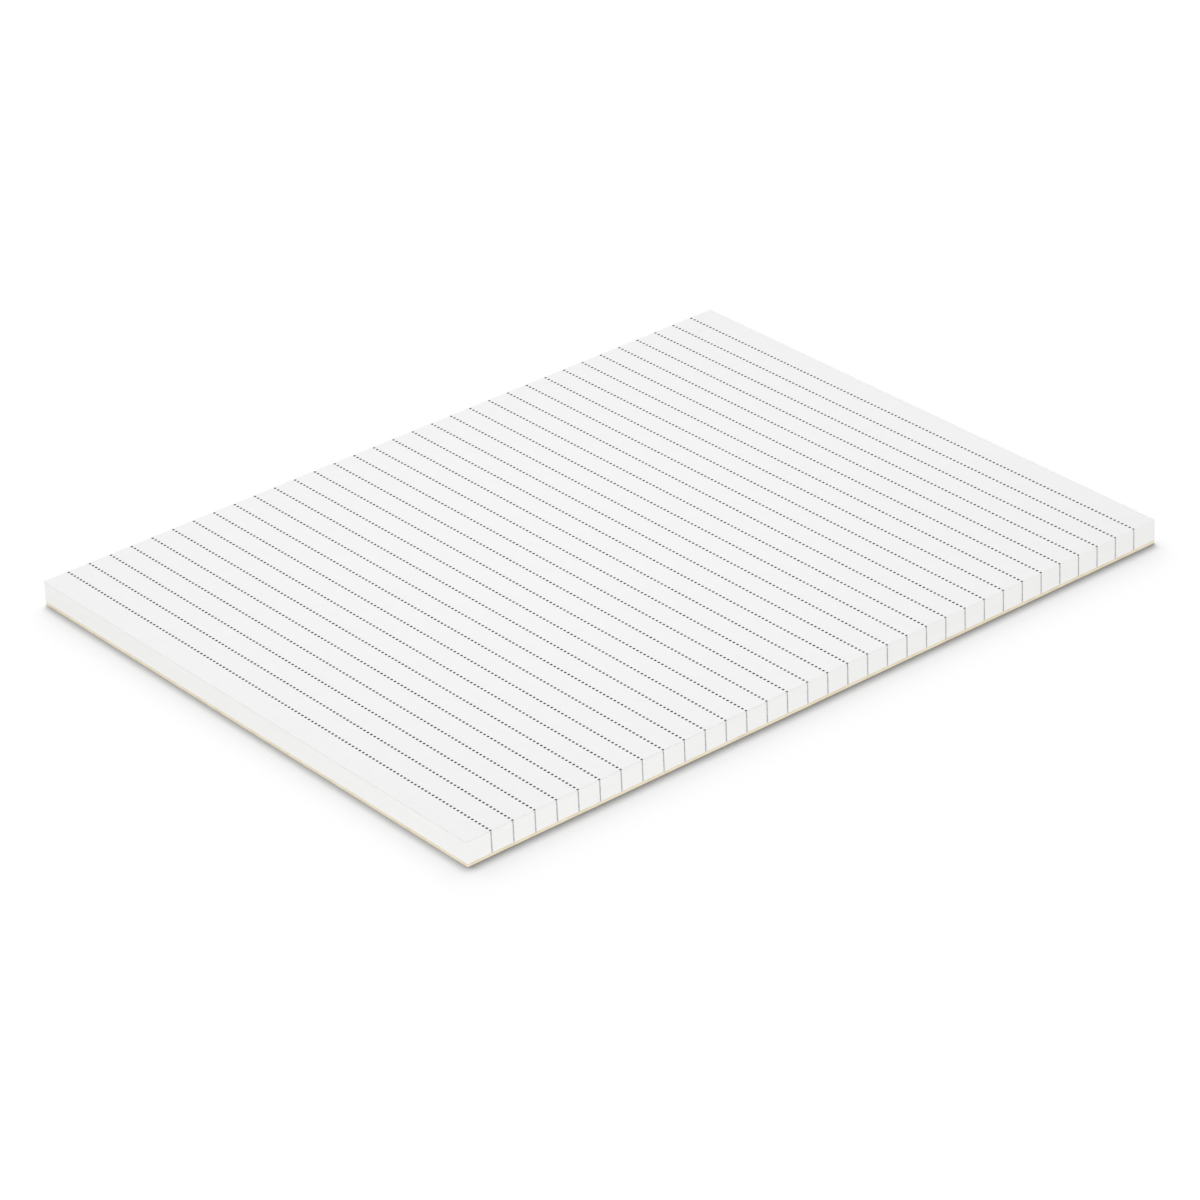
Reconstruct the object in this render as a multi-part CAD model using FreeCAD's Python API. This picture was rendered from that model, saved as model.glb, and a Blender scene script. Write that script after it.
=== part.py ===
import FreeCAD, Part
import math
import os

# A letter-size tear-off pad of ruled writing paper: a cut stack of sheets on a board
# backing, held along the head edge by a film of padding glue.
# The origin is at the middle of the underside. +X runs across the sheet, +Y runs from the
# foot edge to the glued head edge, and +Z is up. All sizes are in millimetres.

# Paper stack
SHEET_WIDTH = 215.9        # across the pad
SHEET_LENGTH = 279.4       # from the foot edge to the head edge
SHEET_COUNT = 80
SHEET_THICKNESS = 0.093    # one sheet, as it lies in the stack

# Board backing
BOARD_THICKNESS = 1.0

# Padding glue, brushed over the cut head edge of the board and the stack
GLUE_THICKNESS = 0.25

# Ruling of the sheets
RULE_PITCH = 8.16          # from one rule to the next
RULE_WIDTH = 0.80          # diameter of the printed dots that make up a rule
MARGIN_MIN = 9.0           # least bare paper beyond the first and the last rule
INK_THICKNESS = 0.02       # how far the printed ink stands proud of the paper

# The ruling runs off both long edges, so the cut edge of every sheet shows its ink
EDGE_MARK_WIDTH = 0.50     # along the pad

# Places that follow from the sizes above
STACK_THICKNESS = SHEET_COUNT * SHEET_THICKNESS
STACK_TOP = BOARD_THICKNESS + STACK_THICKNESS
LEFT_EDGE = -SHEET_WIDTH / 2
RIGHT_EDGE = SHEET_WIDTH / 2
FOOT_EDGE = -(SHEET_LENGTH + GLUE_THICKNESS) / 2
HEAD_EDGE = FOOT_EDGE + SHEET_LENGTH


def slab(x_range, y_range, z_range):
    """A rectangle drawn at the lower height and raised to the upper one."""
    left, right = x_range
    near, far = y_range
    low, high = z_range
    corners = [(left, near), (right, near), (right, far), (left, far), (left, near)]
    outline = Part.makePolygon([FreeCAD.Vector(x, y, low) for x, y in corners])
    return Part.Face(outline).extrude(FreeCAD.Vector(0, 0, high - low))


def page_block():
    """The sheets, cut flush with the board on all four sides."""
    return slab((LEFT_EDGE, RIGHT_EDGE), (FOOT_EDGE, HEAD_EDGE), (BOARD_THICKNESS, STACK_TOP))


def backing_board():
    """The stiff board that the pad lies on."""
    return slab((LEFT_EDGE, RIGHT_EDGE), (FOOT_EDGE, HEAD_EDGE), (0, BOARD_THICKNESS))


def binding_glue():
    """The glue film on the head edge, from the board's underside to the top sheet."""
    head = (HEAD_EDGE, HEAD_EDGE + GLUE_THICKNESS)
    return slab((LEFT_EDGE, RIGHT_EDGE), head, (0, STACK_TOP))


def rule_places():
    """Where each rule's centre line lies along the pad, evenly set between the margins."""
    gaps = math.floor((SHEET_LENGTH - 2 * MARGIN_MIN) / RULE_PITCH)
    first = FOOT_EDGE + (SHEET_LENGTH - gaps * RULE_PITCH) / 2
    return [first + RULE_PITCH * index for index in range(gaps + 1)]


def across(centre, width):
    """The stretch of the given width about a rule's centre line."""
    return (centre - width / 2, centre + width / 2)


def printed_rules():
    """The rules on the top sheet, each from one long edge to the other."""
    ink = (STACK_TOP, STACK_TOP + INK_THICKNESS)
    return [slab((LEFT_EDGE, RIGHT_EDGE), across(y, RULE_WIDTH), ink) for y in rule_places()]


def edge_rule_marks():
    """The line under each rule's two ends, where the sheets below show their own rules."""
    left = (LEFT_EDGE - INK_THICKNESS, LEFT_EDGE)
    right = (RIGHT_EDGE, RIGHT_EDGE + INK_THICKNESS)
    stack = (BOARD_THICKNESS, STACK_TOP)
    return [slab(side, across(y, EDGE_MARK_WIDTH), stack) for y in rule_places() for side in (left, right)]


def write(name, shape):
    """Save one sub-part as a STEP file named after it."""
    shape.exportStep(f"parts/{name}.step")


os.makedirs("parts", exist_ok=True)
write("page_block", page_block())
write("backing_board", backing_board())
write("binding_glue", binding_glue())
write("printed_rules", Part.makeCompound(printed_rules()))
write("edge_rule_marks", Part.makeCompound(edge_rule_marks()))
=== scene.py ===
import math
import random

import bpy
from mathutils import Matrix, Vector, noise


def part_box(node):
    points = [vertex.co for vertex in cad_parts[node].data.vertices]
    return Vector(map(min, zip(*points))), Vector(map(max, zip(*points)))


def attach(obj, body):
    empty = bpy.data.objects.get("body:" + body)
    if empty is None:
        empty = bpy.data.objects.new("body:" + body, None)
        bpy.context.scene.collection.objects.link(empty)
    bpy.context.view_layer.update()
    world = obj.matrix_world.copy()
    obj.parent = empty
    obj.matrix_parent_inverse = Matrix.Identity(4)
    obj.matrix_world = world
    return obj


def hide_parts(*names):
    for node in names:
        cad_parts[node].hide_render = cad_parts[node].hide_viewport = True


# A letter-size tear-off pad of dot-ruled paper, lying on a white table.
# The frame is the part's own: origin at the middle of the underside, +X across the sheet,
# +Y towards the glued head edge, +Z up, in metres.

MM = 0.001
SEED = 11
PLACE_DIGITS = 6               # CAD places are read to a thousandth of a millimetre

# The outward direction of each side of the pad
FOOT = (0, -1)
RIGHT = (1, 0)
HEAD = (0, 1)
LEFT = (-1, 0)
SIDES = (FOOT, RIGHT, HEAD, LEFT)

# Paper stack
SHEET_THICKNESS = 0.093 * MM
EDGE_STEP = 12 * MM            # spacing of the points round a sheet's outline
CUT_WANDER = 0.018 * MM        # how far a sheet's cut edge wanders in and out
WANDER_SCALE = 60              # waves of it per metre
WANDER_SHEET_STEP = 3.7        # so that each sheet wanders in its own way
SHEET_SHIFT = 0.02 * MM        # how far one sheet's edge stands back from the next
EDGE_ROUNDING = 0.012 * MM     # a cut edge is slightly rounded top and bottom
EDGE_ROUND_SHARE = 0.2         # share of the sheet's thickness that the rounding takes
LOOSE_SHEETS = 3               # top sheets that lie looser than the rest
LOOSE_GROOVE = 0.15 * MM       # how much deeper the grooves under them are at the thumbed corner
LOOSE_REACH = 270 * MM         # distance from that corner over which this fades
LOOSE_LEAST = 0.12             # share of it that is left all round

# Printed rules: rows of round dots
DOTS_ACROSS = 129
FIRST_DOT_SHARE = 0.45         # first dot's distance from the left edge, in dot pitches
LAST_DOT_SHARE = 0.1           # last dot's distance from the right edge, in dot pitches
DOT_SIDES = 10
DOT_GAIN = 1.03                # the ink spreads a little beyond the drawn dot
DOT_SIZE_SPREAD = 0.03         # each dot's diameter is up to this share larger or smaller

# Ink on the cut edges
MARK_DEPTH = 0.05 * MM         # how far the ink reaches into the sheet
MARK_PROUD = 0.004 * MM
MARK_SHARE = 0.35              # share of each sheet's thickness that shows ink
MARK_SHARE_SPREAD = 0.25       # each mark is up to this share taller or lower
MARK_LEAST_WIDTH = 0.88        # narrowest mark, as a share of the CAD mark
MARK_SHIFT = 0.05 * MM         # misregister from sheet to sheet

# Padding glue
GLUE_STEP_ACROSS = 1.2 * MM
GLUE_STEP_UP = 0.45 * MM
GLUE_THIN_SHARE = 0.86         # thinnest place, as a share of the film
STREAK_SCALE = (25, 900)       # brush streaks per metre, across and up
STREAK_PLACE = 0.3             # where in the noise the streaks are read
STREAK_SHARE = 0.6             # share of the unevenness that is streaks, and the rest is blobs
BLOB_SCALE = (50, 140)         # blobs per metre, across and up
BLOB_PLACE = 5.1               # where in the noise the blobs are read

# Camera
LENS_MM = 148.15
SENSOR_MM = 36.0
CLIP_START = 50 * MM
CAMERA_AZIMUTH = 51.645
CAMERA_ELEVATION = 29.076
CAMERA_ROLL = 2.860
CAMERA_AIM = (24.91 * MM, -20.68 * MM)      # on the plane of the top sheet
CAMERA_RANGE = 1539.4 * MM

# Table and light. Two suns light the table alone, to white, and leave the pad's soft shadow
# on it. Each has its strength, azimuth, elevation and spread, in degrees.
FLOOR_SIZE = 8.0
FLOOR_GREY = 0.3               # dark enough for the light from the pad to leave its shadow clear
TABLE_SUNS = {
    "table_sun_high": (4.67, 236.4, 72.1, 25.6),
    "table_sun_wide": (4.55, 241.4, 53.9, 81.8),
}
WORLD_COLOUR = (1.0, 1.0, 1.0, 1.0)
WORLD_STRENGTH = 0.77
# Soft lamps for the pad alone, each with its watts, size and place in metres
PAD_LAMPS = {
    "overhead_lamp": (0.42, 0.3, (-0.03, -0.02, 0.45)),
    "front_lamp": (19.0, 0.8, (1.70, -1.69, 0.42)),
    "back_lamp": (5.5, 0.8, (-1.30, 1.20, 0.45)),
}

# Colours, linear
PAPER_LIGHT = (0.873, 0.873, 0.872, 1.0)
PAPER_DARK = (0.853, 0.853, 0.852, 1.0)
CUT_LIGHT = (0.893, 0.893, 0.886, 1.0)
CUT_DARK = (0.842, 0.842, 0.833, 1.0)
INK_LIGHT = (0.024, 0.025, 0.026, 1.0)
INK_DARK = (0.014, 0.015, 0.016, 1.0)
EDGE_INK_LIGHT = (0.34, 0.34, 0.345, 1.0)
EDGE_INK_DARK = (0.17, 0.17, 0.173, 1.0)
BOARD_LIGHT = (0.82, 0.735, 0.56, 1.0)
BOARD_DARK = (0.72, 0.625, 0.455, 1.0)
BOARD_FLECK = (0.40, 0.31, 0.18, 1.0)
NO_FLECK = (0.0, 0.0, 0.0, 1.0)
FLECK_COVER = (0.6, 0.6, 0.6, 1.0)          # how much of the fleck's colour shows
GLUE_LIGHT = (0.90, 0.90, 0.885, 1.0)
GLUE_DARK = (0.84, 0.84, 0.82, 1.0)
SHEET_TONES = 0.9 / SHEET_THICKNESS         # changes of tone per metre of the stack's height

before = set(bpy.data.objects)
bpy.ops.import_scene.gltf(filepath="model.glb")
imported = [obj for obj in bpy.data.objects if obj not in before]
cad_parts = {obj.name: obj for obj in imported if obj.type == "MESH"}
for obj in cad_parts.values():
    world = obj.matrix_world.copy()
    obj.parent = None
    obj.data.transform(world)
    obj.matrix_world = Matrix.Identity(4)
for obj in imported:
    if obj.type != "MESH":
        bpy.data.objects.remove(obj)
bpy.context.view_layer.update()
ROOT = "root"
STACK_LOW, STACK_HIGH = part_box("page_block")
RULES_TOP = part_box("printed_rules")[1].z
GLUE_LOW, GLUE_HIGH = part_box("binding_glue")


def cad_strips(name):
    """The low and high edge along Y of each strip of a CAD node."""
    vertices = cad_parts[name].data.vertices
    edges = sorted({round(vertex.co.y, PLACE_DIGITS) for vertex in vertices})
    return list(zip(edges[::2], edges[1::2]))


def mesh_piece(name, points, faces, materials, face_slots=None):
    """A new mesh object from points and faces, riding on the pad."""
    mesh = bpy.data.meshes.new(name)
    mesh.from_pydata(points, [], faces)
    for material in materials:
        mesh.materials.append(material)
    if face_slots:
        mesh.polygons.foreach_set("material_index", face_slots)
    mesh.update()
    mesh.validate()
    piece = bpy.data.objects.new(name, mesh)
    bpy.context.scene.collection.objects.link(piece)
    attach(piece, ROOT)
    return piece


class Nodes:
    """A small helper that builds one procedural material on the object's own coordinates."""

    def __init__(self, name):
        self.material = bpy.data.materials.new(name)
        self.material.use_nodes = True
        self.tree = self.material.node_tree
        self.shader = self.tree.nodes["Principled BSDF"]
        self.place = self.add("ShaderNodeTexCoord").outputs["Object"]

    def add(self, kind, **settings):
        node = self.tree.nodes.new(kind)
        for key, value in settings.items():
            setattr(node, key, value)
        return node

    def link(self, output, socket):
        self.tree.links.new(output, socket)

    def noise(self, cells, detail=4.0, roughness=0.6):
        """Noise with so many cells per metre, one number or one for each axis."""
        place = self.place
        scale = cells
        if isinstance(cells, tuple):
            mapping = self.add("ShaderNodeMapping")
            mapping.inputs["Scale"].default_value = cells
            self.link(self.place, mapping.inputs["Vector"])
            place = mapping.outputs["Vector"]
            scale = 1.0
        node = self.add("ShaderNodeTexNoise")
        node.inputs["Scale"].default_value = scale
        node.inputs["Detail"].default_value = detail
        node.inputs["Roughness"].default_value = roughness
        self.link(place, node.inputs["Vector"])
        return node.outputs["Fac"]

    def blend(self, factor, first, last, start, end):
        """From one colour to another while the factor goes from start to end."""
        node = self.add("ShaderNodeValToRGB")
        stops = zip(node.color_ramp.elements, (start, end), (first, last))
        for element, position, colour in stops:
            element.position = position
            element.color = colour
        self.link(factor, node.inputs["Fac"])
        return node.outputs["Color"]

    def span(self, factor, low, high):
        """A factor brought into the range from low to high."""
        node = self.add("ShaderNodeMapRange")
        node.inputs["To Min"].default_value = low
        node.inputs["To Max"].default_value = high
        self.link(factor, node.inputs["Value"])
        return node.outputs["Result"]

    def cover(self, factor, under, colour):
        """A plain colour laid over another by a factor."""
        node = self.add("ShaderNodeMix", data_type="RGBA")
        self.link(factor, node.inputs["Factor"])
        self.link(under, node.inputs["A"])
        node.inputs["B"].default_value = colour
        return node.outputs["Result"]

    def bump(self, height, distance, strength, below=None):
        """Relief of a height in metres, on top of the relief below it."""
        node = self.add("ShaderNodeBump")
        node.inputs["Strength"].default_value = strength
        node.inputs["Distance"].default_value = distance
        self.link(height, node.inputs["Height"])
        if below:
            self.link(below, node.inputs["Normal"])
        return node.outputs["Normal"]

    def finish(self, colour, roughness, normal, specular=0.3):
        self.link(colour, self.shader.inputs["Base Color"])
        self.link(roughness, self.shader.inputs["Roughness"])
        self.link(normal, self.shader.inputs["Normal"])
        self.shader.inputs["Specular IOR Level"].default_value = specular
        return self.material


def sheet_paper():
    """The face of a sheet: matt, with a faint cloudy formation and a fine tooth."""
    nodes = Nodes("sheet_paper")
    clouds = nodes.noise(cells=260.0, detail=5.0)
    tooth = nodes.noise(cells=5200.0, detail=3.0)
    fibres = nodes.noise(cells=(900.0, 2600.0, 900.0), detail=2.0)
    colour = nodes.blend(clouds, PAPER_DARK, PAPER_LIGHT, start=0.3, end=0.7)
    roughness = nodes.span(tooth, low=0.78, high=0.95)
    normal = nodes.bump(tooth, distance=0.004 * MM, strength=0.5)
    normal = nodes.bump(fibres, distance=0.006 * MM, strength=0.4, below=normal)
    return nodes.finish(colour, roughness, normal)


def cut_paper():
    """The cut edges of the sheets: rougher, with a slightly different tone from sheet to sheet."""
    nodes = Nodes("cut_paper")
    layers = nodes.noise(cells=(45.0, 45.0, SHEET_TONES), detail=3.0)
    grain = nodes.noise(cells=(3500.0, 3500.0, 16000.0))
    colour = nodes.blend(layers, CUT_DARK, CUT_LIGHT, start=0.25, end=0.62)
    roughness = nodes.span(grain, low=0.85, high=1.0)
    normal = nodes.bump(grain, distance=0.006 * MM, strength=0.6)
    return nodes.finish(colour, roughness, normal, specular=0.2)


def rule_ink():
    """Near-black ink, a little uneven from dot to dot."""
    nodes = Nodes("rule_ink")
    uneven = nodes.noise(cells=420.0)
    tooth = nodes.noise(cells=5200.0, detail=3.0)
    colour = nodes.blend(uneven, INK_DARK, INK_LIGHT, start=0.3, end=0.7)
    roughness = nodes.span(tooth, low=0.6, high=0.85)
    normal = nodes.bump(tooth, distance=0.003 * MM, strength=0.5)
    return nodes.finish(colour, roughness, normal)


def edge_ink():
    """The same ink where the knife went through it: paler, and different on each sheet."""
    nodes = Nodes("edge_ink")
    layers = nodes.noise(cells=(300.0, 300.0, SHEET_TONES), detail=2.0)
    grain = nodes.noise(cells=9000.0, detail=3.0)
    colour = nodes.blend(layers, EDGE_INK_DARK, EDGE_INK_LIGHT, start=0.3, end=0.7)
    roughness = nodes.span(grain, low=0.8, high=0.95)
    normal = nodes.bump(grain, distance=0.004 * MM, strength=0.5)
    return nodes.finish(colour, roughness, normal, specular=0.2)


def buff_board():
    """Buff board of pressed waste paper, with short fibres and a few darker flecks."""
    nodes = Nodes("buff_board")
    clouds = nodes.noise(cells=180.0, detail=6.0)
    fibres = nodes.noise(cells=(520.0, 1900.0, 3200.0), detail=5.0, roughness=0.7)
    tooth = nodes.noise(cells=2600.0, detail=5.0)
    flecks = nodes.blend(fibres, NO_FLECK, FLECK_COVER, start=0.70, end=0.82)
    colour = nodes.blend(clouds, BOARD_DARK, BOARD_LIGHT, start=0.28, end=0.6)
    colour = nodes.cover(flecks, colour, BOARD_FLECK)
    roughness = nodes.span(tooth, low=0.82, high=1.0)
    normal = nodes.bump(tooth, distance=0.02 * MM, strength=0.6)
    normal = nodes.bump(fibres, distance=0.02 * MM, strength=0.5, below=normal)
    return nodes.finish(colour, roughness, normal, specular=0.2)


def padding_glue():
    """Dried white glue: smooth, with a dull sheen and brush streaks along the edge."""
    nodes = Nodes("padding_glue")
    streaks = nodes.noise(cells=(60.0, 60.0, 2200.0))
    ripple = nodes.noise(cells=700.0)
    colour = nodes.blend(streaks, GLUE_DARK, GLUE_LIGHT, start=0.3, end=0.65)
    roughness = nodes.span(ripple, low=0.42, high=0.62)
    normal = nodes.bump(streaks, distance=0.03 * MM, strength=0.5)
    normal = nodes.bump(ripple, distance=0.02 * MM, strength=0.4, below=normal)
    return nodes.finish(colour, roughness, normal, specular=0.4)


def unit_noise(x, y, z):
    """Smooth noise brought into the range from 0 to 1."""
    return 0.5 + 0.5 * noise.noise(Vector((x, y, z)))


def outline_stations():
    """Points round the sheet's outline, with the outward direction of the side each lies on."""
    low, high = STACK_LOW, STACK_HIGH
    corners = [(low.x, low.y), (high.x, low.y), (high.x, high.y), (low.x, high.y)]
    stations = []
    for index, (corner, outward) in enumerate(zip(corners, SIDES)):
        following = corners[(index + 1) % len(corners)]
        before = SIDES[index - 1]
        steps = round(math.dist(corner, following) / EDGE_STEP)
        for step in range(steps):
            share = step / steps
            x = corner[0] + (following[0] - corner[0]) * share
            y = corner[1] + (following[1] - corner[1]) * share
            directions = [outward] if step else [outward, before]
            stations.append((x, y, directions))
    return stations


def side_insets(draw, count):
    """How far each sheet's four sides stand back from the pad's outline."""
    return [{side: draw.uniform(0, SHEET_SHIFT) for side in SIDES} for _ in range(count)]


def edge_rings(insets):
    """The stack's outline from the bottom up, as rings of height, setbacks, looseness and sheet.

    Each sheet's edge is upright over its middle and rounds off into the groove it shares with
    the next sheet.
    """
    thickness = (STACK_HIGH.z - STACK_LOW.z) / len(insets)
    rings = []
    for sheet, sides in enumerate(insets):
        below = insets[max(sheet - 1, 0)]
        groove = {side: max(sides[side], below[side]) + EDGE_ROUNDING for side in SIDES}
        loose = LOOSE_GROOVE if sheet >= len(insets) - LOOSE_SHEETS else 0.0
        low = STACK_LOW.z + thickness * sheet
        rings.append((low, groove, loose, sheet))
        rings.append((low + thickness * EDGE_ROUND_SHARE, sides, 0.0, sheet))
        rings.append((low + thickness * (1 - EDGE_ROUND_SHARE), sides, 0.0, sheet))
    top_rim = {side: back + EDGE_ROUNDING for side, back in insets[-1].items()}
    rings.append((STACK_HIGH.z, top_rim, 0.0, len(insets) - 1))
    return rings


def looseness(x, y):
    """How loose the top sheets lie: 1 at the foot's right corner, fading away from it."""
    distance = math.dist((x, y), (STACK_HIGH.x, STACK_LOW.y))
    return max(LOOSE_LEAST, 1 - distance / LOOSE_REACH)


def ring_points(ring, stations):
    """One ring's points, each set back from the outline along the sides it lies on."""
    z, setback, loose, sheet = ring
    points = []
    for x, y, directions in stations:
        ajar = loose * looseness(x, y)
        for direction in directions:
            wander = unit_noise(x * WANDER_SCALE, y * WANDER_SCALE, sheet * WANDER_SHEET_STEP)
            back = setback[direction] + ajar + CUT_WANDER * wander
            x -= direction[0] * back
            y -= direction[1] * back
        points.append((x, y, z))
    return points


def stack_of_sheets(insets):
    """The stack as one closed mesh, with each sheet's cut edge standing for itself."""
    stations = outline_stations()
    rings = edge_rings(insets)
    around = len(stations)
    points = []
    for ring in rings:
        points.extend(ring_points(ring, stations))
    faces = []
    for base in range(0, len(points) - around, around):
        for step in range(around):
            after = (step + 1) % around
            faces.append((base + step, base + after, base + around + after, base + around + step))
    slots = [1] * len(faces) + [0, 0]
    faces.append(tuple(reversed(range(around))))
    faces.append(tuple(range(len(points) - around, len(points))))
    stack = mesh_piece("sheet_stack", points, faces, [sheet_paper(), cut_paper()], slots)
    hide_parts("page_block")
    return stack


def add_dot(points, faces, centre, radius, right_limit):
    """A flat round dot of ink, cut off where the sheet ends on the right."""
    base = len(points)
    for z in (STACK_HIGH.z, RULES_TOP):
        for side in range(DOT_SIDES):
            angle = math.tau * (side + 0.5) / DOT_SIDES
            x = centre[0] + radius * math.cos(angle)
            y = centre[1] + radius * math.sin(angle)
            points.append((min(x, right_limit), y, z))
    under = list(range(base, base + DOT_SIDES))
    top = [corner + DOT_SIDES for corner in under]
    faces.append(tuple(reversed(under)))
    faces.append(tuple(top))
    for side in range(DOT_SIDES):
        after = (side + 1) % DOT_SIDES
        faces.append((under[side], under[after], top[after], top[side]))


def ruling(strips, draw):
    """Every rule as a row of round ink dots from one long edge to the other."""
    pitch = (STACK_HIGH.x - STACK_LOW.x) / (DOTS_ACROSS - 1 + FIRST_DOT_SHARE + LAST_DOT_SHARE)
    first = STACK_LOW.x + FIRST_DOT_SHARE * pitch
    right_limit = STACK_HIGH.x - SHEET_SHIFT - CUT_WANDER
    corner_reach = 1 / math.cos(math.pi / DOT_SIDES)     # the flats lie on the round outline
    points = []
    faces = []
    for low, high in strips:
        for index in range(DOTS_ACROSS):
            size_change = 1 + draw.uniform(-DOT_SIZE_SPREAD, DOT_SIZE_SPREAD)
            radius = (high - low) / 2 * DOT_GAIN * corner_reach * size_change
            centre = (first + index * pitch, (low + high) / 2)
            add_dot(points, faces, centre, radius, right_limit)
    dots = mesh_piece("dotted_rules", points, faces, [rule_ink()])
    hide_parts("printed_rules")
    return dots


def add_box(points, faces, x_range, y_range, z_range):
    """A closed box."""
    base = len(points)
    left, right = x_range
    near, far = y_range
    for z in z_range:
        points.extend([(left, near, z), (right, near, z), (right, far, z), (left, far, z)])
    for quad in ((3, 2, 1, 0), (4, 5, 6, 7), (0, 1, 5, 4), (1, 2, 6, 5), (2, 3, 7, 6), (3, 0, 4, 7)):
        faces.append(tuple(base + corner for corner in quad))


def edge_marks(insets, strips, draw):
    """The ink that shows on the two long cut edges, one small mark for each rule on each sheet."""
    thickness = (STACK_HIGH.z - STACK_LOW.z) / len(insets)
    mark_low, mark_high = cad_strips("edge_rule_marks")[0]
    points = []
    faces = []
    for sheet, sides in enumerate(insets):
        top = STACK_LOW.z + thickness * (sheet + 1)
        shift = draw.uniform(-MARK_SHIFT, MARK_SHIFT)
        right = STACK_HIGH.x - sides[RIGHT]
        left = STACK_LOW.x + sides[LEFT]
        for low, high in strips:
            centre = (low + high) / 2 + shift
            half = (mark_high - mark_low) / 2 * draw.uniform(MARK_LEAST_WIDTH, 1.0)
            share = MARK_SHARE * draw.uniform(1 - MARK_SHARE_SPREAD, 1 + MARK_SHARE_SPREAD)
            along = (centre - half, centre + half)
            upright = (top - thickness * share, top)
            add_box(points, faces, (right - MARK_DEPTH, right + MARK_PROUD), along, upright)
            add_box(points, faces, (left - MARK_PROUD, left + MARK_DEPTH), along, upright)
    marks = mesh_piece("edge_ink_marks", points, faces, [edge_ink()])
    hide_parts("edge_rule_marks")
    return marks


def glue_surface(x, z):
    """How far out the brushed film's surface lies at a place on the head edge."""
    streak = unit_noise(x * STREAK_SCALE[0], STREAK_PLACE, z * STREAK_SCALE[1])
    blob = unit_noise(x * BLOB_SCALE[0], BLOB_PLACE, z * BLOB_SCALE[1])
    uneven = STREAK_SHARE * streak + (1 - STREAK_SHARE) * blob
    share = GLUE_THIN_SHARE + (1 - GLUE_THIN_SHARE) * uneven
    return GLUE_LOW.y + (GLUE_HIGH.y - GLUE_LOW.y) * min(1.0, share)


def film_faces(across, up):
    """The quads of a film of two layers of points, closed all round its rim."""
    row_size = across + 1
    layer = row_size * (up + 1)
    faces = []
    for row in range(up):
        for column in range(across):
            a = row * row_size + column
            b, c, d = a + 1, a + row_size + 1, a + row_size
            faces.append((b, a, d, c))
            faces.append((layer + a, layer + b, layer + c, layer + d))
    rim = list(range(across))
    rim += [row * row_size + across for row in range(up)]
    rim += [up * row_size + column for column in range(across, 0, -1)]
    rim += [row * row_size for row in range(up, 0, -1)]
    for here, after in zip(rim, rim[1:] + rim[:1]):
        faces.append((here, after, layer + after, layer + here))
    return faces


def glue_film():
    """The padding glue: a thin brushed film over the head edge of the board and the stack."""
    low, high = GLUE_LOW, GLUE_HIGH
    across = round((high.x - low.x) / GLUE_STEP_ACROSS)
    up = round((high.z - low.z) / GLUE_STEP_UP)
    outer = []
    inner = []
    for row in range(up + 1):
        z = low.z + (high.z - low.z) * row / up
        for column in range(across + 1):
            x = low.x + (high.x - low.x) * column / across
            outer.append((x, glue_surface(x, z), z))
            inner.append((x, low.y, z))
    glue = mesh_piece("glue_film", outer + inner, film_faces(across, up), [padding_glue()])
    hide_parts("binding_glue")
    return glue


def finish_board():
    """The CAD board keeps its shape and gets its board finish."""
    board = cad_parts["backing_board"]
    board.data.materials.clear()
    board.data.materials.append(buff_board())
    return board


def direction(azimuth, elevation):
    """Towards an azimuth and elevation in degrees. Azimuth 0 is the -Y side and 90 the +X side."""
    turn = math.radians(azimuth)
    rise = math.radians(elevation)
    level = math.cos(rise)
    return Vector((math.sin(turn) * level, -math.cos(turn) * level, math.sin(rise)))


def place_camera():
    """A long lens above the near corner, turned slightly about its own axis."""
    back = direction(CAMERA_AZIMUTH, CAMERA_ELEVATION)
    roll = math.radians(CAMERA_ROLL)
    flat_right = Vector((0, 0, 1)).cross(back).normalized()
    flat_up = back.cross(flat_right)
    right = flat_right * math.cos(roll) - flat_up * math.sin(roll)
    up = flat_right * math.sin(roll) + flat_up * math.cos(roll)
    turn = Matrix((right, up, back)).transposed().to_4x4()
    aim = Vector((*CAMERA_AIM, STACK_HIGH.z))
    camera_data = bpy.data.cameras.new("camera")
    camera_data.lens = LENS_MM
    camera_data.sensor_width = SENSOR_MM
    camera_data.clip_start = CLIP_START
    camera = bpy.data.objects.new("camera", camera_data)
    camera.matrix_world = Matrix.Translation(aim + back * CAMERA_RANGE) @ turn
    bpy.context.scene.collection.objects.link(camera)
    bpy.context.scene.camera = camera


def new_lamp(name, kind, energy, towards, place):
    """A lamp at a place, turned so that its light comes from the direction given."""
    lamp_data = bpy.data.lights.new(name, kind)
    lamp_data.energy = energy
    lamp = bpy.data.objects.new(name, lamp_data)
    turn = towards.to_track_quat("Z", "Y").to_matrix().to_4x4()
    lamp.matrix_world = Matrix.Translation(place) @ turn
    bpy.context.scene.collection.objects.link(lamp)
    return lamp


def area_lamp(name, watts, size, place):
    """A square soft lamp that faces the pad."""
    lamp = new_lamp(name, "AREA", watts, Vector(place), place)
    lamp.data.size = size
    return lamp


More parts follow.
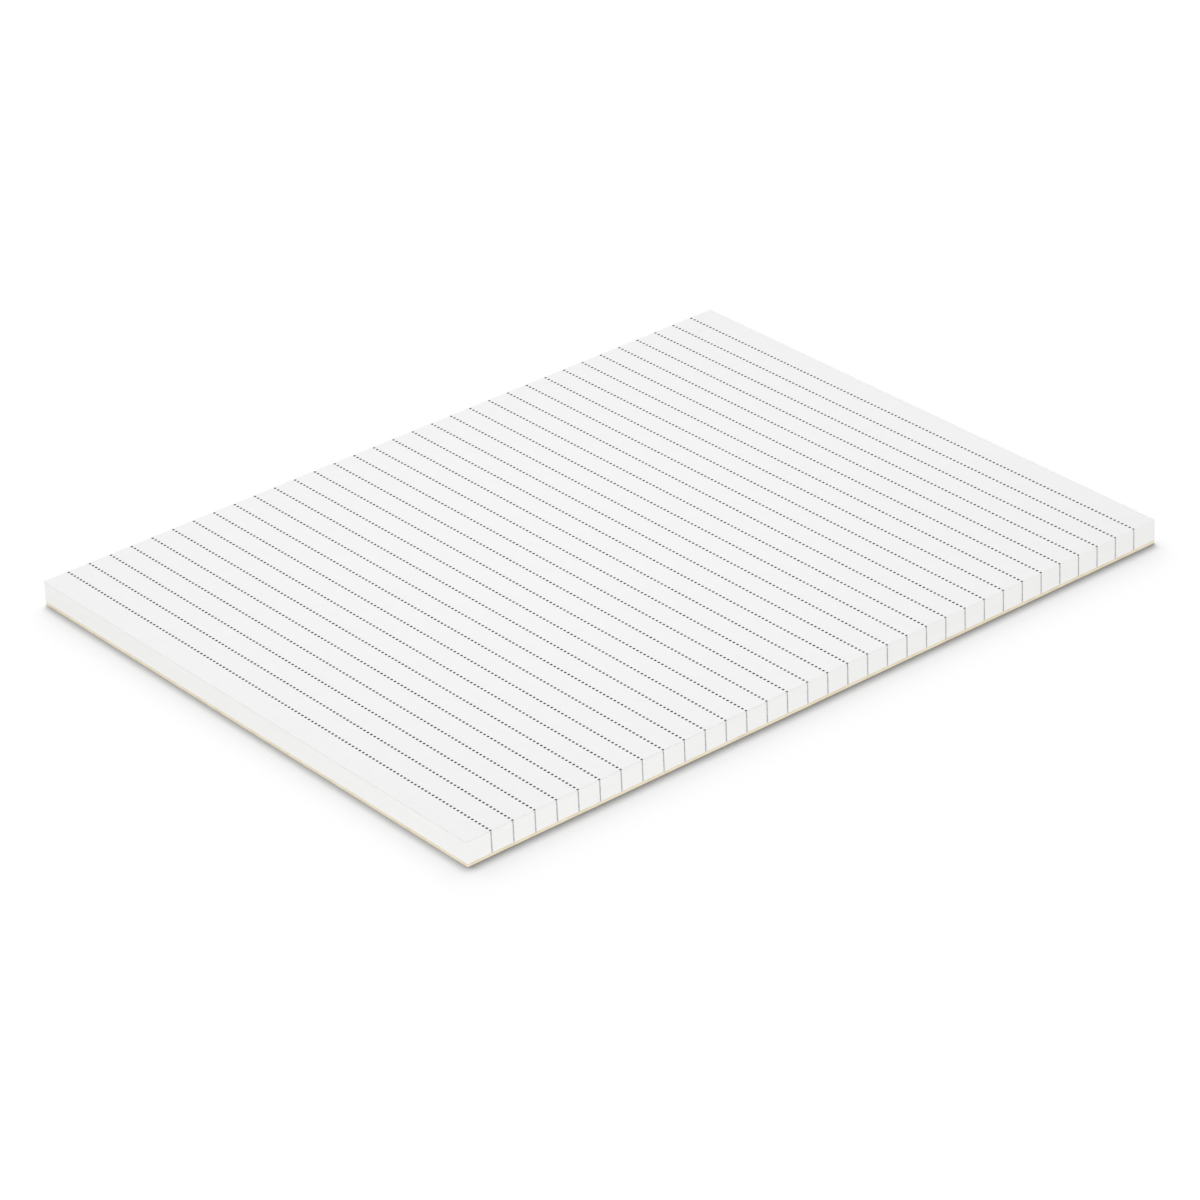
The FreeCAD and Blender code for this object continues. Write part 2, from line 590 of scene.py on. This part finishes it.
def sun(name, strength, azimuth, elevation, spread):
    """A distant soft lamp."""
    lamp = new_lamp(name, "SUN", strength, direction(azimuth, elevation), (0, 0, 0))
    lamp.data.angle = math.radians(spread)
    return lamp


def white_table():
    """A plain table that the pad lies on."""
    half = FLOOR_SIZE / 2
    corners = [(-half, -half, 0), (half, -half, 0), (half, half, 0), (-half, half, 0)]
    mesh = bpy.data.meshes.new("table_top")
    mesh.from_pydata(corners, [], [(0, 1, 2, 3)])
    floor = bpy.data.objects.new("table_top", mesh)
    bpy.context.scene.collection.objects.link(floor)
    material = bpy.data.materials.new("table_white")
    material.use_nodes = True
    shader = material.node_tree.nodes["Principled BSDF"]
    shader.inputs["Base Color"].default_value = (FLOOR_GREY, FLOOR_GREY, FLOOR_GREY, 1.0)
    shader.inputs["Roughness"].default_value = 1.0
    shader.inputs["Specular IOR Level"].default_value = 0.0
    mesh.materials.append(material)
    floor.visible_diffuse = False
    return floor


def light_only(things, lamps):
    """The lamps light these things alone."""
    group = bpy.data.collections.new("lit_by_" + lamps[0].name)
    for thing in things:
        group.objects.link(thing)
    for lamp in lamps:
        lamp.light_linking.receiver_collection = group


def light_the_scene(pad, floor):
    """Even light from all round, and soft lamps of their own for the pad and for the table."""
    world = bpy.data.worlds.new("studio")
    bpy.context.scene.world = world
    world.use_nodes = True
    background = world.node_tree.nodes["Background"]
    background.inputs["Color"].default_value = WORLD_COLOUR
    background.inputs["Strength"].default_value = WORLD_STRENGTH
    light_only(pad, [area_lamp(name, *setting) for name, setting in PAD_LAMPS.items()])
    light_only([floor], [sun(name, *setting) for name, setting in TABLE_SUNS.items()])


def main():
    draw = random.Random(SEED)
    place_camera()
    strips = cad_strips("printed_rules")
    sheets = round((STACK_HIGH.z - STACK_LOW.z) / SHEET_THICKNESS)
    insets = side_insets(draw, sheets)
    pad = [
        stack_of_sheets(insets),
        ruling(strips, draw),
        edge_marks(insets, strips, draw),
        glue_film(),
        finish_board(),
    ]
    light_the_scene(pad, white_table())
    bpy.context.scene.view_settings.view_transform = "Standard"


main()
